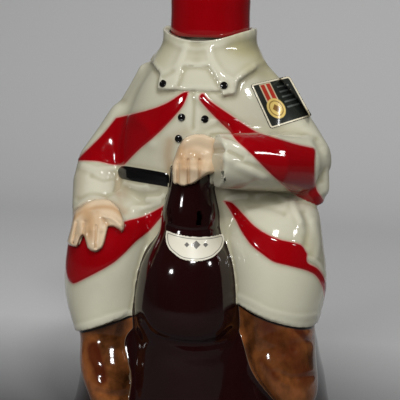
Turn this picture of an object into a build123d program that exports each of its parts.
from build123d import *
import math
import os

# Figural liquor decanter: a seated figure in a pale coat holds a bottle
# between its knees. The head lifts out with the cork. Millimetres, +Z up,
# the figure faces -Y, the origin is at the centre of the foot.

os.makedirs("parts", exist_ok=True)

# The cast wall, the fits and the overrun that every cut shares
wall = 4.5
cork_clearance = 0.1
stopper_gap = 0.3
relief = 0.7
overrun = 1.0

# Base: a bell-shaped foot that the figure sits on
base_radius = 60.0
base_height = 54.0
foot_recess = 2.5
foot_ring_width = 8.0
base_rim_shares = ((1.0, 0.0), (0.985, 0.07), (0.925, 0.39), (0.888, 0.54), (0.825, 0.80), (0.70, 0.95))
base_top_share = 0.45

# Coat: the trunk of the figure, which holds the liquor
seat_height = 171.0
coat_sink = 12.0
coat_breadth = 94.0
coat_depth = 78.0
chamber_roof = 8.0
# Each row: height, breadth, depth
coat_shares = (
    (0.0, 0.94, 0.95),
    (0.11, 0.98, 1.0),
    (0.23, 1.0, 1.0),
    (0.37, 0.97, 0.91),
    (0.50, 0.92, 0.86),
    (0.64, 0.85, 0.85),
    (0.74, 0.775, 0.82),
    (0.82, 0.69, 0.76),
    (0.895, 0.57, 0.655),
    (0.955, 0.436, 0.526),
    (1.0, 0.394, 0.474),
)

# Neck: a plain tube that the cork stands in
neck_radius = 13.0
neck_bore_radius = 9.6
neck_rise = 11.0
neck_lip = 0.8

# Collar: turned down, with a wing tip on each side of the bib
collar_thickness = 2.2
collar_rise = 4.5
collar_dip = 3.9
collar_dip_reach = 20.0
collar_opening_radius = 18.0
collar_reach = 30.0
collar_drop = 27.5
# Each row: side, drop below the rim
collar_edge_shares = (
    (-1.0, 0.49),
    (-0.80, 0.53),
    (-0.56, 0.71),
    (-0.567, 0.94),
    (-0.287, 0.93),
    (-0.22, 0.553),
    (0.173, 0.542),
    (0.383, 0.836),
    (0.40, 0.993),
    (0.567, 0.964),
    (0.58, 0.78),
    (0.767, 0.618),
    (1.0, 0.49),
)

# Bib: a low panel between the wing tips
bib_rise = 0.8
bib_top_width = 12.0
bib_foot_width = 25.0
bib_foot_side = 2.5
bib_top_drop = 10.0
bib_foot_drop = 21.0

# Bottle held between the knees, leaning back towards the hands
bottle_radius = 22.0
bottle_length = 74.0
bottle_sink = 10.0
bottle_side = 0.5
bottle_lean = 3.0
# Each row: radius, distance along the bottle
bottle_shares = (
    (0.84, 0.0),
    (0.97, 0.07),
    (1.0, 0.29),
    (0.82, 0.50),
    (0.58, 0.63),
    (0.535, 0.74),
    (0.44, 0.86),
    (0.42, 1.0),
)
pedestal_radius = 20.0
pedestal_foot_radius = 33.0

# Bottle label: a thin crescent of paper round the shoulder. Each row: side, drop
label_thickness = 0.4
label_width = 29.0
label_side = 1.5
label_rise = 48.0
label_height = 10.3
label_shares = (
    (-0.5, 0.0),
    (0.5, 0.08),
    (0.5, 0.66),
    (0.28, 0.95),
    (0.05, 1.0),
    (-0.22, 0.80),
    (-0.46, 0.36),
)

# Legs, as level ovals. Each row: height, side, forward, breadth, depth
leg_rise = 50.0
leg_sink = 20.0
leg_inset = 14.93
leg_turn = 56.3
leg_breadth = 43.0
leg_depth = 52.0
right_leg_shares = (
    (0.0, 0.89, 1.16, 0.79, 0.81),
    (0.29, 0.95, 1.04, 0.91, 0.90),
    (0.50, 0.965, 0.90, 1.0, 0.98),
    (0.71, 0.945, 0.80, 0.98, 1.0),
    (0.89, 0.91, 0.65, 0.95, 0.85),
    (1.0, 0.80, 0.44, 0.70, 0.55),
)
left_leg_shares = (
    (0.0, 0.94, 1.16, 0.79, 0.81),
    (0.20, 0.95, 1.08, 0.88, 0.84),
    (0.40, 0.97, 0.95, 0.97, 0.94),
    (0.56, 0.955, 0.83, 1.0, 1.0),
    (0.71, 0.91, 0.76, 1.0, 0.96),
    (0.89, 0.87, 0.62, 0.95, 0.85),
    (1.0, 0.75, 0.40, 0.70, 0.55),
)
right_hem_sink = 5.0
right_hem_slope = 22.0
left_hem_rise = 4.5
left_hem_slope = -16.0

# Boots, as level ovals in the same order as the legs, cut off by the hems
boot_inset = 4.68
boot_turn = 40.6
boot_breadth = 29.0
boot_depth = 34.0
right_boot_overlap = 11.0
right_boot_sole = 2.0
right_boot_shares = (
    (0.0, 0.72, 1.0, 0.72, 0.86),
    (0.07, 0.73, 1.01, 0.84, 0.97),
    (0.17, 0.77, 0.99, 0.78, 0.94),
    (0.33, 0.83, 0.97, 0.84, 0.92),
    (0.55, 0.91, 0.87, 0.96, 0.95),
    (0.75, 0.97, 0.72, 1.02, 0.94),
    (1.0, 1.0, 0.56, 1.02, 0.90),
)
left_boot_overlap = 9.5
left_boot_sole = 17.0
left_boot_shares = (
    (0.0, 1.34, 0.92, 0.26, 0.34),
    (0.06, 1.35, 0.91, 0.48, 0.66),
    (0.16, 1.31, 0.88, 0.70, 0.84),
    (0.30, 1.22, 0.85, 0.90, 0.95),
    (0.50, 1.12, 0.78, 1.04, 1.0),
    (0.75, 1.05, 0.70, 1.10, 1.03),
    (1.0, 1.02, 0.60, 1.10, 1.03),
)

# Arms, as points with a radius. Each row: side, forward, drop, radius
shoulder_drop = 19.0
sleeve_radius = 13.0
right_arm_overhang = 9.0
right_wrist_setback = 6.0
right_wrist_sink = 8.0
right_arm_shares = (
    (0.52, 0.0, 0.0, 0.83),
    (0.68, 0.0, 0.28, 0.92),
    (0.84, 0.05, 0.51, 0.96),
    (0.99, 0.21, 0.71, 0.985),
    (0.995, 0.58, 0.84, 0.96),
    (0.94, 1.0, 1.0, 0.98),
    (0.916, 1.17, 1.066, 0.97),
)
left_arm_reach = 43.5
left_wrist_forward = 3.0
left_wrist_rise = 1.0
left_arm_shares = (
    (0.50, 0.0, 0.06, 0.81),
    (0.71, 0.0, 0.42, 0.90),
    (0.86, 0.05, 0.72, 0.96),
    (0.99, 0.15, 0.97, 1.0),
    (0.96, 0.36, 1.0, 0.98),
    (0.74, 0.70, 0.94, 0.93),
    (0.51, 0.90, 0.91, 0.90),
    (0.295, 1.027, 0.897, 0.86),
)
# The loose corner of cloth under the left elbow
elbow_drape_shares = (
    (0.99, 0.24, 1.0, 0.98),
    (1.13, 0.24, 1.42, 0.55),
    (1.16, 0.24, 1.55, 0.28),
)
# The row of each arm's elbow
elbow_row = 3

# Hands, in hand sizes from the wrist. Each row: side, forward, height and radius
# at the root, then at the tip
hand_size = 20.0
fingertip_length_share = 0.8
fingertip_radius_share = 0.55
right_palm_shares = (
    ((-0.035, -0.065, 0.185, 0.5), (-0.035, 0.575, 0.025, 0.42)),
    ((-0.435, 0.595, -0.035, 0.22), (0.265, 0.895, 0.065, 0.24)),
)
right_finger_shares = (
    ((-0.475, 0.615, -0.115, 0.135), (-0.535, 0.755, -0.395, 0.12)),
    ((-0.275, 0.835, -0.055, 0.15), (-0.335, 1.015, -0.455, 0.135)),
    ((-0.015, 0.995, -0.015, 0.16), (-0.035, 1.195, -0.475, 0.145)),
    ((0.245, 1.035, 0.005, 0.16), (0.255, 1.255, -0.435, 0.145)),
    ((0.465, 0.885, 0.165, 0.15), (0.745, 1.055, -0.035, 0.13)),
)
left_palm_shares = (
    ((0.05, -0.085, 0.05, 0.46), (-0.48, -0.155, 0.12, 0.46)),
    ((-0.8, -0.035, 0.1, 0.16), (-0.15, 0.125, 0.1, 0.17)),
)
left_finger_shares = (
    ((-0.83, -0.075, 0.05, 0.13), (-0.82, -0.105, -0.3, 0.12)),
    ((-0.62, 0.025, 0.05, 0.15), (-0.63, -0.005, -0.38, 0.135)),
    ((-0.38, 0.065, 0.05, 0.15), (-0.38, 0.025, -0.38, 0.14)),
    ((-0.15, 0.065, 0.05, 0.15), (-0.16, 0.005, -0.24, 0.135)),
)

# Belt: a strap across the right side of the waist
belt_thickness = 1.2
belt_width = 6.2
belt_rise = 7.9
belt_outer_side = 40.0
belt_inner_side = 9.0
belt_fall = 1.0

# Buttons. Each row: side, drop below the collar's rim or the bib's foot
button_radius = 1.7
button_rise = 1.0
coat_button_side = 5.6
coat_button_drop = 20.0
collar_button_shares = ((-0.473, 0.854), (0.427, 0.854))
coat_button_shares = ((-0.946, 0.57), (0.857, 0.56), (-1.0, 1.0))

# Red bands: raised lapels on the chest and the thighs. Each row: side, drop below the top
right_lapel_reach = 54.0
right_lapel_gap = 0.5
right_lapel_drop = 34.0
right_lapel_shares = (
    (-0.056, 0.0),
    (-0.204, 0.141),
    (-0.431, 0.288),
    (-0.70, 0.40),
    (-1.15, 0.55),
    (-1.15, 1.0),
    (-0.863, 0.982),
    (-0.619, 1.012),
    (-0.509, 0.847),
    (-0.333, 0.606),
    (-0.148, 0.306),
    (-0.067, 0.097),
)
left_lapel_reach = 51.0
left_lapel_gap = 1.0
left_lapel_drop = 51.5
left_lapel_shares = (
    (0.049, 0.01),
    (0.124, 0.054),
    (0.312, 0.181),
    (0.50, 0.295),
    (0.643, 0.318),
    (0.745, 0.348),
    (0.975, 0.421),
    (1.0, 0.544),
    (1.0, 0.682),
    (1.05, 0.862),
    (1.13, 0.996),
    (1.04, 0.94),
    (0.824, 0.843),
    (0.773, 0.709),
    (0.614, 0.507),
    (0.414, 0.334),
    (0.229, 0.239),
    (0.045, 0.049),
)
right_thigh_inset = 5.0
right_thigh_gap = 2.0
right_thigh_drop = 36.0
right_thigh_shares = (
    (-0.182, 0.017),
    (-0.347, 0.167),
    (-0.491, 0.222),
    (-0.705, 0.353),
    (-0.975, 0.572),
    (-1.13, 0.61),
    (-1.13, 0.986),
    (-0.853, 0.986),
    (-0.669, 0.806),
    (-0.465, 0.569),
    (-0.331, 0.361),
    (-0.204, 0.114),
)
left_thigh_inset = 3.0
left_thigh_lap = 0.5
left_thigh_drop = 43.0
left_thigh_shares = (
    (0.253, 0.014),
    (0.318, 0.042),
    (0.496, 0.212),
    (0.695, 0.323),
    (0.849, 0.395),
    (0.896, 0.553),
    (0.963, 0.64),
    (1.02, 0.786),
    (1.07, 0.921),
    (1.05, 0.998),
    (0.996, 0.851),
    (0.90, 0.663),
    (0.781, 0.565),
    (0.577, 0.453),
    (0.414, 0.291),
    (0.282, 0.081),
)

# Shoulder label: a slip of foil over the coat and the upper left sleeve
foil_thickness = 0.4
foil_width = 24.0
foil_height = 21.5
foil_side = 22.0
foil_drop = 18.4
foil_shares = ((0.0, 0.81), (0.48, 1.0), (1.0, 0.21), (0.42, 0.0))

# Head stopper: a roll neck that seats in the collar, with the head and the cork
roll_neck_radius = 17.5
roll_neck_clearance = 0.4
roll_neck_rise = 19.0
roll_neck_web = 7.0
roll_neck_roll = 1.5
cork_skin = 1.0
cork_chamfer = 1.2
cork_sink = 0.5
head_height = 57.5
head_breadth = 41.0
head_depth = 48.0
# Each row: height, breadth, depth, forward
head_shares = (
    (0.0, 0.71, 0.60, -0.02),
    (0.087, 0.73, 0.77, 0.073),
    (0.139, 0.78, 0.83, 0.083),
    (0.261, 0.89, 0.90, 0.05),
    (0.40, 0.95, 0.95, 0.02),
    (0.557, 0.99, 1.0, 0.0),
    (0.696, 1.0, 1.0, -0.01),
    (0.817, 0.93, 0.94, -0.02),
    (0.922, 0.72, 0.74, -0.02),
    (0.985, 0.36, 0.38, -0.02),
    (1.0, 0.10, 0.11, -0.02),
)
# Nose in profile, in head heights from the foot of the head. Each row: forward, height
nose_shares = ((0.36, 0.54), (0.412, 0.54), (0.505, 0.36), (0.49, 0.315), (0.40, 0.295), (0.36, 0.295))
nose_breadth = 8.0
nose_taper = 12.0
# Ears: ovals that flare outwards, in head heights. Each row: side, depth, height
ear_height_share = 0.426
ear_setback_share = 0.026
ear_shares = ((0.28, 0.10, 0.20), (0.40, 0.15, 0.25))
hair_thickness = 1.8
hairline_share = 0.54
hairline_slope = 37.0

# Worked out from the driving dimensions
front_reach = 2 * base_radius
floor_top = foot_recess + wall
coat_foot = base_height - coat_sink
chamber_top = seat_height - chamber_roof
neck_height = seat_height + neck_rise
collar_rim_height = seat_height + collar_rise
collar_dip_radius = (collar_dip_reach ** 2 + collar_dip ** 2) / (2 * collar_dip)
bib_top_height = seat_height - bib_top_drop
bib_foot_height = seat_height - bib_foot_drop
shoulder_height = seat_height - shoulder_drop
roll_neck_top = seat_height + roll_neck_rise

# The bottle, the legs and the boots stand round the base
bottle_foot_height = base_height - bottle_sink
bottle_forward = base_radius - bottle_radius
leg_foot_height = base_height - leg_sink
leg_top_height = base_height + leg_rise
leg_side = (base_radius - leg_inset) * math.sin(math.radians(leg_turn))
leg_forward = (base_radius - leg_inset) * math.cos(math.radians(leg_turn))
right_hem_height = base_height - right_hem_sink
left_hem_height = base_height + left_hem_rise
boot_side = (base_radius - boot_inset) * math.sin(math.radians(boot_turn))
boot_forward = (base_radius - boot_inset) * math.cos(math.radians(boot_turn))
right_boot_top = right_hem_height + right_boot_overlap
left_boot_top = left_hem_height + left_boot_overlap

# One hand rests on the right thigh, the other on the bottle's mouth
right_arm_reach = leg_side + right_arm_overhang
right_arm_forward = leg_forward - right_wrist_setback
right_arm_drop = shoulder_height - leg_top_height + right_wrist_sink
left_arm_forward = bottle_forward + left_wrist_forward
left_arm_drop = shoulder_height - bottle_foot_height - bottle_length - left_wrist_rise

# What lies on the cloth and the bottle
label_top_height = bottle_foot_height + label_rise
belt_height = leg_top_height + belt_rise
right_lapel_top = bib_foot_height - right_lapel_gap
left_lapel_top = bib_foot_height - left_lapel_gap
right_thigh_reach = base_radius - right_thigh_inset
left_thigh_reach = base_radius - left_thigh_inset
right_thigh_top = leg_top_height - right_thigh_gap
left_thigh_top = leg_top_height + left_thigh_lap
foil_foot_height = shoulder_height - foil_drop
cork_foot_height = seat_height - cork_sink


def coat_tower(grow=0.0, top=seat_height):
    """Loft the coat's level ovals, grown by a skin, inside the part that is open."""
    ovals = []
    for height_share, breadth_share, depth_share in coat_shares:
        with BuildSketch(Plane.XY.offset(coat_foot + (top - coat_foot) * height_share)) as oval:
            Ellipse(coat_breadth * breadth_share / 2 + grow, coat_depth * depth_share / 2 + grow)
        ovals.append(oval.sketch)
    loft(ovals)


def leg(shares, foot, height, side, forward, breadth, depth, grow=0.0):
    """Loft level ovals that stand off the axis, inside the part that is open."""
    ovals = []
    for height_share, side_share, forward_share, breadth_share, depth_share in shares:
        with BuildSketch(Plane.XY.offset(foot + height * height_share)) as oval:
            with Locations((side * side_share, -forward * forward_share)):
                Ellipse(breadth * breadth_share / 2 + grow, depth * depth_share / 2 + grow)
        ovals.append(oval.sketch)
    loft(ovals)


def cones(points, grow=0.0):
    """Join level rings square to their run by cones, inside the part that is open."""
    run = points[-1][0] - points[0][0]
    rings = []
    for centre, radius in points:
        with BuildSketch(Plane(origin=centre, z_dir=run)) as ring:
            Circle(radius + grow)
        rings.append(ring.sketch)
    loft(rings, ruled=True)


def tube(points, grow=0.0):
    """Join rings that halve each bend of their run, inside the part that is open."""
    level = Vector(0, 0, 1).cross(points[-1][0] - points[0][0])
    rings = []
    for before, here, after in zip(points[:1] + points[:-1], points, points[1:] + points[-1:]):
        with BuildSketch(Plane(origin=here[0], x_dir=level, z_dir=after[0] - before[0])) as ring:
            Circle(here[1] + grow)
        rings.append(ring.sketch)
    loft(rings, ruled=True)


def arm(points, elbow, grow=0.0):
    """Join an upper arm and a forearm by a ball at the elbow, with one more at the shoulder."""
    for centre, radius in (points[0], points[elbow]):
        with Locations(centre):
            Sphere(radius + grow)
    tube(points[:elbow + 1], grow)
    tube(points[elbow:], grow)


def sloping_plane(side, height, slope):
    """Give the plane that crosses the figure from side to side at a slope in degrees."""
    turn = math.radians(slope)
    return Plane(origin=(side, 0, height), z_dir=(-math.sin(turn), 0, math.cos(turn)))


def arm_points(shares, side_sign, reach, forward, drop):
    """Turn an arm's shares into places and radii."""
    points = []
    for side_share, forward_share, drop_share, radius_share in shares:
        place = Vector(
            side_sign * reach * side_share,
            -forward * forward_share,
            shoulder_height - drop * drop_share,
        )
        points.append((place, sleeve_radius * radius_share))
    return points


def shell_outline(shares, radius, foot, top):
    """List the points of the base's rim, shrunk to a radius and between two heights."""
    points = [(radius - base_radius * (1.0 - r), foot + (top - foot) * h) for r, h in shares]
    return points + [(radius * base_top_share, top)]


def bones(wrist, row):
    """Turn a row of a hand's shares into places and radii."""
    points = []
    for side_share, forward_share, height_share, radius_share in row:
        step = Vector(side_share, -forward_share, height_share) * hand_size
        points.append((wrist + step, hand_size * radius_share))
    return points


def blunt(start, end):
    """Give the blunt end of a cone that runs from a start to an end."""
    reach = (end[0] - start[0]).normalized() * end[1] * fingertip_length_share
    return (end[0] + reach, end[1] * fingertip_radius_share)


def hand(wrist, palm_shares, finger_shares):
    """Join a palm of blunt cones and blunt fingers, inside the part that is open."""
    for row in palm_shares:
        root, tip = bones(wrist, row)
        cones([blunt(tip, root), root, tip, blunt(root, tip)])
    for row in finger_shares:
        root, tip = bones(wrist, row)
        cones([root, tip, blunt(root, tip)])


def slab(outline):
    """Draw a closed outline and run it forward through the figure's front half."""
    with BuildSketch(Plane.XZ) as shape:
        with BuildLine():
            Polyline(outline, close=True)
        make_face()
    extrude(shape.sketch, amount=front_reach, mode=Mode.INTERSECT)


# The base's outline starts straight up and ends level
rim_ends = [(0, 1), (-1, 0)]

# Forms: whole outer shapes, which cut each other so that pieces meet face to face
with BuildPart() as base_form:
    with BuildSketch(Plane.XZ):
        with BuildLine():
            rim = Spline(shell_outline(base_rim_shares, base_radius, 0, base_height), tangents=rim_ends)
            Line(rim @ 1, (0, base_height))
            Line((0, base_height), (0, 0))
            Line((0, 0), rim @ 0)
        make_face()
    revolve(axis=Axis.Z)
    with BuildSketch(Plane.XY):
        with Locations((0, pedestal_foot_radius - base_radius)):
            Circle(pedestal_foot_radius)
    with BuildSketch(Plane.XY.offset(bottle_foot_height)):
        with Locations((bottle_side, -bottle_forward)):
            Circle(pedestal_radius)
    loft()

with BuildPart() as coat_form:
    coat_tower()

with BuildPart() as chamber_form:
    with BuildSketch(Plane.XZ):
        with BuildLine():
            inner_rim = Spline(shell_outline(base_rim_shares, base_radius - wall, floor_top,
                                             base_height - wall), tangents=rim_ends)
            Line(inner_rim @ 1, (0, base_height - wall))
            Line((0, base_height - wall), (0, floor_top))
            Line((0, floor_top), inner_rim @ 0)
        make_face()
    revolve(axis=Axis.Z)
    coat_tower(-wall, chamber_top)

bottle_plane = Plane(
    origin=(bottle_side, -bottle_forward, bottle_foot_height),
    x_dir=(1, 0, 0),
    z_dir=(0, math.sin(math.radians(bottle_lean)), math.cos(math.radians(bottle_lean))),
)
bottle_side_plane = Plane(origin=bottle_plane.origin, x_dir=(1, 0, 0), z_dir=-bottle_plane.y_dir)


def bottle_body(grow=0.0):
    """Turn the bottle's outline, grown by a skin, about its leaning axis."""
    with BuildSketch(bottle_side_plane) as half:
        with BuildLine():
            side = Spline([(bottle_radius * r + grow, bottle_length * s) for r, s in bottle_shares])
            Line(side @ 1, (0, bottle_length))
            Line((0, bottle_length), (0, 0))
            Line((0, 0), side @ 0)
        make_face()
    revolve(half.sketch, axis=Axis(bottle_plane.origin, bottle_plane.z_dir))


with BuildPart() as bottle_form:
    bottle_body()

with BuildPart() as right_leg_form:
    leg(right_leg_shares, leg_foot_height, leg_top_height - leg_foot_height,
        -leg_side, leg_forward, leg_breadth, leg_depth)

with BuildPart() as left_leg_form:
    leg(left_leg_shares, leg_foot_height, leg_top_height - leg_foot_height,
        leg_side, leg_forward, leg_breadth, leg_depth)

right_arm = arm_points(right_arm_shares, -1, right_arm_reach, right_arm_forward, right_arm_drop)
left_arm = arm_points(left_arm_shares, 1, left_arm_reach, left_arm_forward, left_arm_drop)
elbow_drape = arm_points(elbow_drape_shares, 1, left_arm_reach, left_arm_forward, left_arm_drop)

with BuildPart() as right_arm_form:
    arm(right_arm, elbow_row)

with BuildPart() as left_arm_form:
    arm(left_arm, elbow_row)
    cones(elbow_drape)

# Base shell
with BuildPart() as base_shell:
    add(base_form.part)
    add(chamber_form.part, mode=Mode.SUBTRACT)
    with BuildSketch(Plane.XY):
        Circle(base_radius - foot_ring_width)
    extrude(amount=foot_recess, mode=Mode.SUBTRACT)
base_shell.part.label = "base_shell"
export_step(base_shell.part, "parts/base_shell.step")

# Coat shell, with the bib and the hole that the neck is set in
with BuildPart() as bib_form:
    coat_tower(bib_rise)
    slab([
        (-bib_top_width / 2, bib_top_height),
        (bib_top_width / 2, bib_top_height),
        (bib_foot_side + bib_foot_width / 2, bib_foot_height),
        (bib_foot_side - bib_foot_width / 2, bib_foot_height),
    ])

with BuildPart() as coat_shell:
    add(coat_form.part)
    add(bib_form.part)
    add(base_form.part, mode=Mode.SUBTRACT)
    add(chamber_form.part, mode=Mode.SUBTRACT)
    with BuildSketch(Plane.XY.offset(chamber_top - overrun)):
        Circle(neck_radius)
    extrude(amount=seat_height - chamber_top + 2 * overrun, mode=Mode.SUBTRACT)
coat_shell.part.label = "coat_shell"
export_step(coat_shell.part, "parts/coat_shell.step")

# Pour neck
with BuildPart() as pour_neck:
    with BuildSketch(Plane.XY.offset(chamber_top - overrun)):
        Circle(neck_radius)
        Circle(neck_bore_radius, mode=Mode.SUBTRACT)
    extrude(amount=neck_height - chamber_top + overrun)
    chamfer(pour_neck.edges().group_by(Axis.Z)[-1], neck_lip)
pour_neck.part.label = "pour_neck"
export_step(pour_neck.part, "parts/pour_neck.step")

# Collar
collar_edge = [(collar_reach * x, collar_rim_height - collar_drop * z) for x, z in collar_edge_shares]
with BuildPart() as collar_form:
    coat_tower(collar_thickness)
    with BuildSketch(Plane.XY.offset(seat_height)):
        Ellipse(coat_breadth * coat_shares[-1][1] / 2 + collar_thickness,
                coat_depth * coat_shares[-1][2] / 2 + collar_thickness)
    extrude(amount=collar_rise)

with BuildPart() as coat_collar:
    with BuildSketch(Plane.XZ):
        with BuildLine():
            Polyline(collar_edge + [(collar_reach, collar_rim_height), (-collar_reach, collar_rim_height)],
                     close=True)
        make_face()
    extrude(amount=front_reach)
    with BuildSketch(Plane.XZ):
        with BuildLine():
            Polyline(collar_edge[0], collar_edge[-1],
                     (collar_reach, collar_rim_height), (-collar_reach, collar_rim_height), close=True)
        make_face()
    extrude(amount=-front_reach)
    add(collar_form.part, mode=Mode.INTERSECT)
    add(coat_form.part, mode=Mode.SUBTRACT)
    add(bib_form.part, mode=Mode.SUBTRACT)
    with BuildSketch(Plane.XY.offset(seat_height - overrun)):
        Circle(collar_opening_radius)
    extrude(amount=collar_rise + 2 * overrun, mode=Mode.SUBTRACT)
    with BuildSketch(Plane.XZ.offset(overrun)):
        with Locations((0, collar_rim_height - collar_dip + collar_dip_radius)):
            Circle(collar_dip_radius)
    extrude(amount=front_reach, mode=Mode.SUBTRACT)
coat_collar.part.label = "coat_collar"
export_step(coat_collar.part, "parts/coat_collar.step")

# Held bottle
with BuildPart() as held_bottle:
    add(bottle_form.part)
    add(base_form.part, mode=Mode.SUBTRACT)
    add(coat_form.part, mode=Mode.SUBTRACT)
held_bottle.part.label = "held_bottle"
export_step(held_bottle.part, "parts/held_bottle.step")

# Trouser legs, cut off at a sloping hem
right_hem = sloping_plane(-leg_side, right_hem_height, right_hem_slope)
left_hem = sloping_plane(leg_side, left_hem_height, left_hem_slope)
legs = {}
for name, form, hem in (
    ("right_trouser_leg", right_leg_form, right_hem),
    ("left_trouser_leg", left_leg_form, left_hem),
):
    with BuildPart() as trouser_leg:
        add(form.part)
        split(bisect_by=hem, keep=Keep.TOP)
        add(coat_form.part, mode=Mode.SUBTRACT)
        add(base_form.part, mode=Mode.SUBTRACT)
        add(bottle_form.part, mode=Mode.SUBTRACT)
    trouser_leg.part.label = name
    export_step(trouser_leg.part, "parts/" + name + ".step")
    legs[name] = trouser_leg.part

# Boots
for name, side_sign, shares, top, sole, hem in (
    ("right_boot", -1, right_boot_shares, right_boot_top, right_boot_sole, right_hem),
    ("left_boot", 1, left_boot_shares, left_boot_top, left_boot_sole, left_hem),
):
    with BuildPart() as boot:
        leg(shares, sole, top - sole, side_sign * boot_side, boot_forward, boot_breadth, boot_depth)
        split(bisect_by=hem, keep=Keep.BOTTOM)
        add(coat_form.part, mode=Mode.SUBTRACT)
        add(base_form.part, mode=Mode.SUBTRACT)
        add(bottle_form.part, mode=Mode.SUBTRACT)
    boot.part.label = name
    export_step(boot.part, "parts/" + name + ".step")

# Sleeves, cut off square at the wrist
sleeves = {}
for name, form in (("right_sleeve", right_arm_form), ("left_sleeve", left_arm_form)):
    with BuildPart() as sleeve:
        add(form.part)
        add(coat_form.part, mode=Mode.SUBTRACT)
        add(coat_collar.part, mode=Mode.SUBTRACT)
        add(legs["right_trouser_leg"], mode=Mode.SUBTRACT)
        add(legs["left_trouser_leg"], mode=Mode.SUBTRACT)
        add(bottle_form.part, mode=Mode.SUBTRACT)
    sleeve.part.label = name
    export_step(sleeve.part, "parts/" + name + ".step")
    sleeves[name] = sleeve.part

# Hands
hands = {}
for name, points, palm_shares, finger_shares, sleeve_name, beneath in (
    ("right_hand", right_arm, right_palm_shares, right_finger_shares, "right_sleeve", right_leg_form),
    ("left_hand", left_arm, left_palm_shares, left_finger_shares, "left_sleeve", bottle_form),
):
    with BuildPart() as figure_hand:
        hand(points[-1][0], palm_shares, finger_shares)
        add(sleeves[sleeve_name], mode=Mode.SUBTRACT)
        add(coat_form.part, mode=Mode.SUBTRACT)
        add(beneath.part, mode=Mode.SUBTRACT)
    figure_hand.part.label = name
    export_step(figure_hand.part, "parts/" + name + ".step")
    hands[name] = figure_hand.part

# Bottle label
with BuildPart() as bottle_label:
    bottle_body(label_thickness)
    slab([(label_side + label_width * x, label_top_height - label_height * z) for x, z in label_shares])
    for neighbour in (bottle_form.part, coat_form.part,
                      legs["right_trouser_leg"], legs["left_trouser_leg"]):
        add(neighbour, mode=Mode.SUBTRACT)
bottle_label.part.label = "bottle_label"
export_step(bottle_label.part, "parts/bottle_label.step")

# Red lapels, raised on the chest and the sleeve beside it
lapels = {}
for name, points, drape, sleeve_name, shares, reach, top, drop in (
    ("right_lapel", right_arm, [], "right_sleeve", right_lapel_shares,
     right_lapel_reach, right_lapel_top, right_lapel_drop),
    ("left_lapel", left_arm, [elbow_drape], "left_sleeve", left_lapel_shares,
     left_lapel_reach, left_lapel_top, left_lapel_drop),
):
    with BuildPart() as lapel:
        coat_tower(relief)
        for loose_cloth in drape:
            cones(loose_cloth, relief)
        arm(points, elbow_row, relief)
        slab([(reach * x, top - drop * z) for x, z in shares])
        for neighbour in (coat_form.part, sleeves[sleeve_name], bib_form.part,
                          legs["right_trouser_leg"], legs["left_trouser_leg"]):
            add(neighbour, mode=Mode.SUBTRACT)
    lapels[name] = lapel.part
    lapel.part.label = name
    export_step(lapel.part, "parts/" + name + ".step")

# Red bands on the thighs
for name, side_sign, leg_shares, leg_name, sleeve_name, shares, reach, top, drop in (
    ("right_thigh_band", -1, right_leg_shares, "right_trouser_leg", "right_sleeve", right_thigh_shares,
     right_thigh_reach, right_thigh_top, right_thigh_drop),
    ("left_thigh_band", 1, left_leg_shares, "left_trouser_leg", "left_sleeve", left_thigh_shares,
     left_thigh_reach, left_thigh_top, left_thigh_drop),
):
    with BuildPart() as band:
        coat_tower(relief)
        leg(leg_shares, leg_foot_height, leg_top_height - leg_foot_height,
            side_sign * leg_side, leg_forward, leg_breadth, leg_depth, relief)
        slab([(reach * x, top - drop * z) for x, z in shares])
        for neighbour in (coat_form.part, legs[leg_name], sleeves[sleeve_name], bottle_form.part):
            add(neighbour, mode=Mode.SUBTRACT)
        if side_sign < 0:
            add(hands["right_hand"], mode=Mode.SUBTRACT)
    band.part.label = name
    export_step(band.part, "parts/" + name + ".step")

# Belt
with BuildPart() as coat_belt:
    coat_tower(belt_thickness)
    slab([
        (-belt_outer_side, belt_height + belt_width / 2 + belt_fall / 2),
        (-belt_inner_side, belt_height + belt_width / 2 - belt_fall / 2),
        (-belt_inner_side, belt_height - belt_width / 2 - belt_fall / 2),
        (-belt_outer_side, belt_height - belt_width / 2 + belt_fall / 2),
    ])
    for neighbour in (coat_form.part, sleeves["right_sleeve"], bottle_form.part, lapels["right_lapel"]):
        add(neighbour, mode=Mode.SUBTRACT)
coat_belt.part.label = "coat_belt"
export_step(coat_belt.part, "parts/coat_belt.step")

# Buttons, as groups of small discs that follow the cloth
collar_buttons = [(collar_reach * x, collar_rim_height - collar_drop * z) for x, z in collar_button_shares]
coat_buttons = [(coat_button_side * x, bib_foot_height - coat_button_drop * z) for x, z in coat_button_shares]
for name, places, rise in (
    ("collar_buttons", collar_buttons, collar_thickness + button_rise),
    ("coat_buttons", coat_buttons, button_rise),
):
    with BuildPart() as buttons:
        coat_tower(rise)
        with BuildSketch(Plane.XZ) as discs:
            with Locations(places):
                Circle(button_radius)
        extrude(discs.sketch, amount=front_reach, mode=Mode.INTERSECT)
        for neighbour in (coat_form.part, bib_form.part, coat_collar.part):
            add(neighbour, mode=Mode.SUBTRACT)
    buttons.part.label = name
    export_step(buttons.part, "parts/" + name + ".step")

# Shoulder label
with BuildPart() as shoulder_label:
    coat_tower(foil_thickness)
    arm(left_arm, elbow_row, foil_thickness)
    slab([(foil_side + foil_width * x, foil_foot_height + foil_height * z) for x, z in foil_shares])
    for neighbour in (coat_form.part, sleeves["left_sleeve"], coat_collar.part):
        add(neighbour, mode=Mode.SUBTRACT)
shoulder_label.part.label = "shoulder_label"
export_step(shoulder_label.part, "parts/shoulder_label.step")

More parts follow.
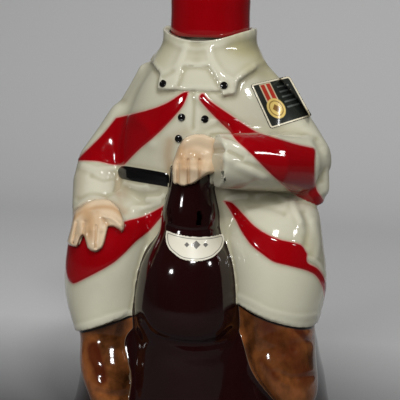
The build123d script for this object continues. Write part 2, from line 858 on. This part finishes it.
# Stopper: roll neck
with BuildPart() as roll_neck:
    with BuildSketch(Plane.XY.offset(seat_height + stopper_gap)):
        Circle(roll_neck_radius)
    extrude(amount=roll_neck_top - seat_height - stopper_gap)
    chamfer(roll_neck.edges().group_by(Axis.Z)[-1], roll_neck_roll)
    with BuildSketch(Plane.XY.offset(seat_height)):
        Circle(neck_radius + roll_neck_clearance)
    extrude(amount=roll_neck_top - roll_neck_web - seat_height, mode=Mode.SUBTRACT)
    with BuildSketch(Plane.XY.offset(seat_height)):
        Circle(neck_bore_radius - cork_clearance)
    extrude(amount=roll_neck_top - cork_skin - seat_height, mode=Mode.SUBTRACT)
roll_neck.part.label = "roll_neck"
export_step(roll_neck.part, "parts/roll_neck.step")

# Stopper: cork
with BuildPart() as stopper_cork:
    with BuildSketch(Plane.XY.offset(cork_foot_height)):
        Circle(neck_bore_radius - cork_clearance)
    extrude(amount=roll_neck_top - cork_skin - cork_foot_height)
    chamfer(stopper_cork.edges().group_by(Axis.Z)[0], cork_chamfer)
stopper_cork.part.label = "stopper_cork"
export_step(stopper_cork.part, "parts/stopper_cork.step")

# Stopper: head, hollow cast, with its hair
def head_tower(shares, grow=0.0):
    """Loft the head's level ovals, inside the part that is open."""
    ovals = []
    for height_share, breadth_share, depth_share, forward_share in shares:
        with BuildSketch(Plane.XY.offset(roll_neck_top + head_height * height_share)) as oval:
            with Locations((0, -head_depth * forward_share)):
                Ellipse(head_breadth * breadth_share / 2 + grow, head_depth * depth_share / 2 + grow)
        ovals.append(oval.sketch)
    loft(ovals)


def ear(side_sign):
    """Stand an ear out from the side of the head, inside the part that is open."""
    ovals = []
    for side_share, depth_share, height_share in ear_shares:
        origin = (side_sign * head_height * side_share, head_height * ear_setback_share,
                  roll_neck_top + head_height * ear_height_share)
        with BuildSketch(Plane(origin=origin, x_dir=(0, 1, 0), z_dir=(side_sign, 0, 0))) as oval:
            Ellipse(head_height * depth_share / 2, head_height * height_share / 2)
        ovals.append(oval.sketch)
    loft(ovals, ruled=True)


with BuildPart() as head_form:
    head_tower(head_shares)

with BuildPart() as head_hollow:
    head_tower(head_shares[:-2:2], -wall)

nose_line = [(-head_height * f, roll_neck_top + head_height * z) for f, z in nose_shares]
with BuildPart() as head:
    add(head_form.part)
    with BuildSketch(Plane.YZ) as nose:
        with BuildLine():
            Polyline(nose_line, close=True)
        make_face()
    extrude(nose.sketch, amount=nose_breadth / 2, both=True, taper=nose_taper)
    ear(1)
    ear(-1)
    add(head_hollow.part, mode=Mode.SUBTRACT)
head.part.label = "head"
export_step(head.part, "parts/head.step")

with BuildPart() as hair:
    head_tower(head_shares, hair_thickness)
    slope = math.radians(hairline_slope)
    split(bisect_by=Plane(origin=(0, 0, roll_neck_top + head_height * hairline_share),
                          z_dir=(0, math.sin(slope), math.cos(slope))), keep=Keep.TOP)
    add(head_form.part, mode=Mode.SUBTRACT)
    add(head.part, mode=Mode.SUBTRACT)
hair.part.label = "hair"
export_step(hair.part, "parts/hair.step")
